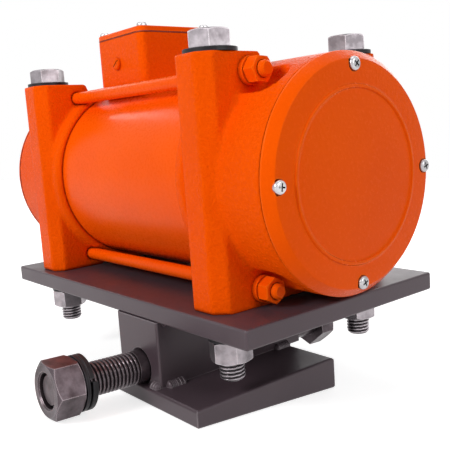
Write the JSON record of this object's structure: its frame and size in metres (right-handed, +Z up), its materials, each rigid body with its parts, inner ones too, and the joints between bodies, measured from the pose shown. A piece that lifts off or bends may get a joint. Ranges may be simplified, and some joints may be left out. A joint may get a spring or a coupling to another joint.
{
  "type": "vibration motor",
  "caption": "Electric vibration motor with round end covers and a top junction box, bolted to a flat plate with a clamp bolt and a sloped wedge bracket.",
  "frame": {"origin": "centre of the four foot bolts, on the top face of the mounting plate", "axes": "+X along the motor shaft towards the front cover, +Z up away from the mounting plate, +Y towards the head of the clamp bolt"},
  "size_m": [0.3332, 0.2418, 0.2665],
  "materials": {
    "orange_paint": "glossy orange paint over a fine cast texture",
    "orange_barrel": "glossy smooth orange paint",
    "plate_paint": "dark grey-violet satin metal",
    "plain_steel": "plain steel with a satin sheen",
    "black_steel": "black oxide finish",
    "zinc_plate": "bright zinc plate",
    "painted_gasket": "gasket whose edge is painted over in orange",
    "bearing_steel": "ground and polished",
    "core_steel": "stacked laminations",
    "copper_winding": "varnished copper winding",
    "cast_aluminium": "as cast",
    "weight_iron": "machined iron",
    "terminal_plastic": "moulded black",
    "bare_brass": "plain brass"
  },
  "bodies": {
    "motor_frame": {"mounting_plate": "plate_paint", "spacer_block": "plate_paint", "wedge_plate": "plate_paint", "weld_beads": "plate_paint", "foot_bolts": "plain_steel", "foot_washers": "black_steel", "foot_lower_washers": "black_steel", "foot_lock_washers": "black_steel", "foot_nuts": "plain_steel", "barrel_tube": "orange_barrel", "tie_rods": "orange_paint", "tie_rod_nuts": "orange_paint", "tie_rod_lock_washers": "orange_paint", "stator_core": "core_steel", "stator_winding": "copper_winding", "retainer_screws": "zinc_plate", "junction_box": "orange_paint", "lid_gasket": "painted_gasket", "box_lid": "orange_paint", "lid_screws": "zinc_plate", "ground_screw": "orange_paint", "box_screws": "zinc_plate", "terminal_strip": "terminal_plastic", "terminal_studs": "bare_brass", "front_housing": "orange_paint", "front_cover": "orange_paint", "front_cover_gasket": "painted_gasket", "front_cover_screws": "zinc_plate", "front_bearing_outer_ring": "bearing_steel", "front_bearing_retainer": "cast_aluminium", "rear_housing": "orange_paint", "rear_cover": "orange_paint", "rear_cover_gasket": "painted_gasket", "rear_cover_screws": "zinc_plate", "rear_bearing_outer_ring": "bearing_steel", "rear_bearing_retainer": "cast_aluminium"},
    "rotor": {"rotor_shaft": "bearing_steel", "rotor_core": "core_steel", "front_bearing_inner_ring": "bearing_steel", "front_rotor_end_ring": "cast_aluminium", "front_fixed_weight": "weight_iron", "front_weight_key": "plain_steel", "front_shaft_nut": "plain_steel", "rear_bearing_inner_ring": "bearing_steel", "rear_rotor_end_ring": "cast_aluminium", "rear_fixed_weight": "weight_iron", "rear_weight_key": "plain_steel", "rear_shaft_nut": "plain_steel"},
    "front_ball_cage": {"front_bearing_cage": "bare_brass", "front_bearing_balls": "bearing_steel"},
    "rear_ball_cage": {"rear_bearing_cage": "bare_brass", "rear_bearing_balls": "bearing_steel"},
    "front_turnable_weight": {"front_turnable_weight": "weight_iron", "front_lock_screw": "black_steel"},
    "rear_turnable_weight": {"rear_turnable_weight": "weight_iron", "rear_lock_screw": "black_steel"},
    "clamp_bolt": {"clamp_bolt": "plain_steel"},
    "clamp_washers": {"clamp_flat_washer": "black_steel", "clamp_lock_washer": "black_steel"},
    "clamp_nut": {"clamp_nut": "plain_steel"}
  },
  "joints": [
    {"name": "rotor_spin", "type": "hinge", "parent": "motor_frame", "child": "rotor", "pos_m": [0, 0, 0.0753], "axis": [1, 0, 0], "continuous": true},
    {"name": "front_cage_spin", "type": "hinge", "parent": "motor_frame", "child": "front_ball_cage", "pos_m": [0.1085, 0, 0.0753], "axis": [1, 0, 0], "continuous": true},
    {"name": "rear_cage_spin", "type": "hinge", "parent": "motor_frame", "child": "rear_ball_cage", "pos_m": [-0.1085, 0, 0.0753], "axis": [1, 0, 0], "continuous": true},
    {"name": "front_weight_turn", "type": "hinge", "parent": "rotor", "child": "front_turnable_weight", "pos_m": [0.1455, 0, 0.0753], "axis": [1, 0, 0], "range_deg": [0, 180]},
    {"name": "rear_weight_turn", "type": "hinge", "parent": "rotor", "child": "rear_turnable_weight", "pos_m": [-0.1455, 0, 0.0753], "axis": [1, 0, 0], "range_deg": [0, 180]},
    {"name": "clamp_bolt_slide", "type": "slide", "parent": "motor_frame", "child": "clamp_bolt", "axis": [0, -0.999, 0.0436], "range_m": [-0.025, 0.03]},
    {"name": "clamp_washer_slide", "type": "slide", "parent": "clamp_bolt", "child": "clamp_washers", "axis": [0, 0.999, -0.0436], "range_m": [0, 0.0085]},
    {"name": "clamp_nut_turn", "type": "hinge", "parent": "clamp_washers", "child": "clamp_nut", "pos_m": [0.043, -0.1, -0.04503], "axis": [0, 0.999, -0.0436], "range_deg": [0, 1080]}
  ],
  "couplings": [
    {"joint": "front_cage_spin", "follows": "rotor_spin", "ratio": 0.384},
    {"joint": "rear_cage_spin", "follows": "rotor_spin", "ratio": 0.384},
    {"joint": "clamp_washer_slide", "follows": "clamp_nut_turn", "m_per_rad": 0.00044917}
  ]
}
